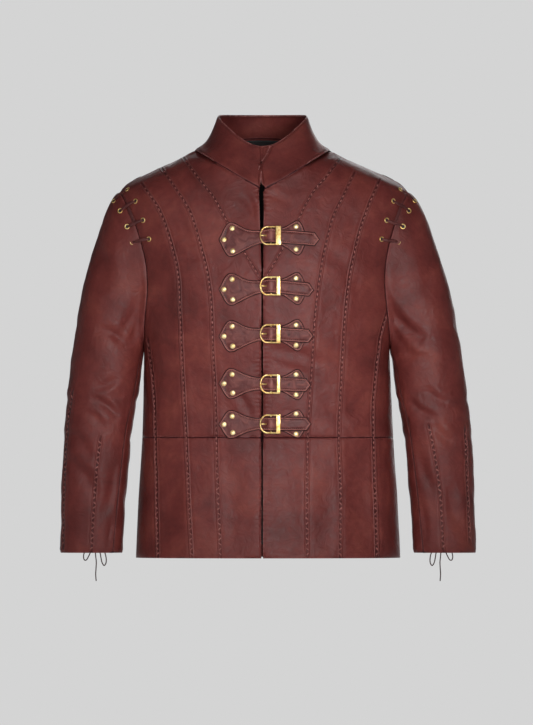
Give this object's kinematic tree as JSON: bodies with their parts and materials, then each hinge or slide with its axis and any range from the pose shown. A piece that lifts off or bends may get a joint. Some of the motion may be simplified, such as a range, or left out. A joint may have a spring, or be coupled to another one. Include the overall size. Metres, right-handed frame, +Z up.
{
  "type": "leather jacket",
  "caption": "Waist-seamed leather jacket with a stand collar, buckled straps down the front, laced shoulders and laced cuffs, filled out as worn and empty.",
  "frame": {"origin": "middle of the neck base, level with the neck points of the shoulders, where the wearer's neck and shoulders carry the jacket", "axes": "+X to the wearer's left, +Y towards the back, +Z up; the front faces -Y"},
  "size_m": [0.7389, 0.2622, 0.83],
  "materials": {
    "leather": "smooth aniline-dyed burgundy sheepskin, semi-matt",
    "strap_leather": "two layers of the same leather, edge-stitched, a little darker",
    "brass": "pale polished brass plate",
    "lining": "black satin lining",
    "lace": "cut leather lace, dark burgundy"
  },
  "bodies": {
    "root": {"front_right_upper": "leather", "front_left_upper": "leather", "front_right_skirt": "leather", "front_left_skirt": "leather", "back_upper": "leather", "back_skirt": "leather", "sleeve_right_top": "leather", "sleeve_right_under": "leather", "sleeve_left_top": "leather", "sleeve_left_under": "leather", "collar": "leather", "back_lining": "lining", "strap_1": "strap_leather", "tab_1": "strap_leather", "buckle_1": "brass", "prong_1": "brass", "strap_2": "strap_leather", "tab_2": "strap_leather", "buckle_2": "brass", "prong_2": "brass", "strap_3": "strap_leather", "tab_3": "strap_leather", "buckle_3": "brass", "prong_3": "brass", "strap_4": "strap_leather", "tab_4": "strap_leather", "buckle_4": "brass", "prong_4": "brass", "strap_5": "strap_leather", "tab_5": "strap_leather", "buckle_5": "brass", "prong_5": "brass", "lace_right_1": "lace", "lace_right_2": "lace", "lace_right_3": "lace", "lace_right_4": "lace", "knot_right": "lace", "loop_outer_right": "lace", "loop_inner_right": "lace", "tail_right": "lace", "lace_left_1": "lace", "lace_left_2": "lace", "lace_left_3": "lace", "lace_left_4": "lace", "knot_left": "lace", "loop_outer_left": "lace", "loop_inner_left": "lace", "tail_left": "lace"}
  },
  "joints": []
}
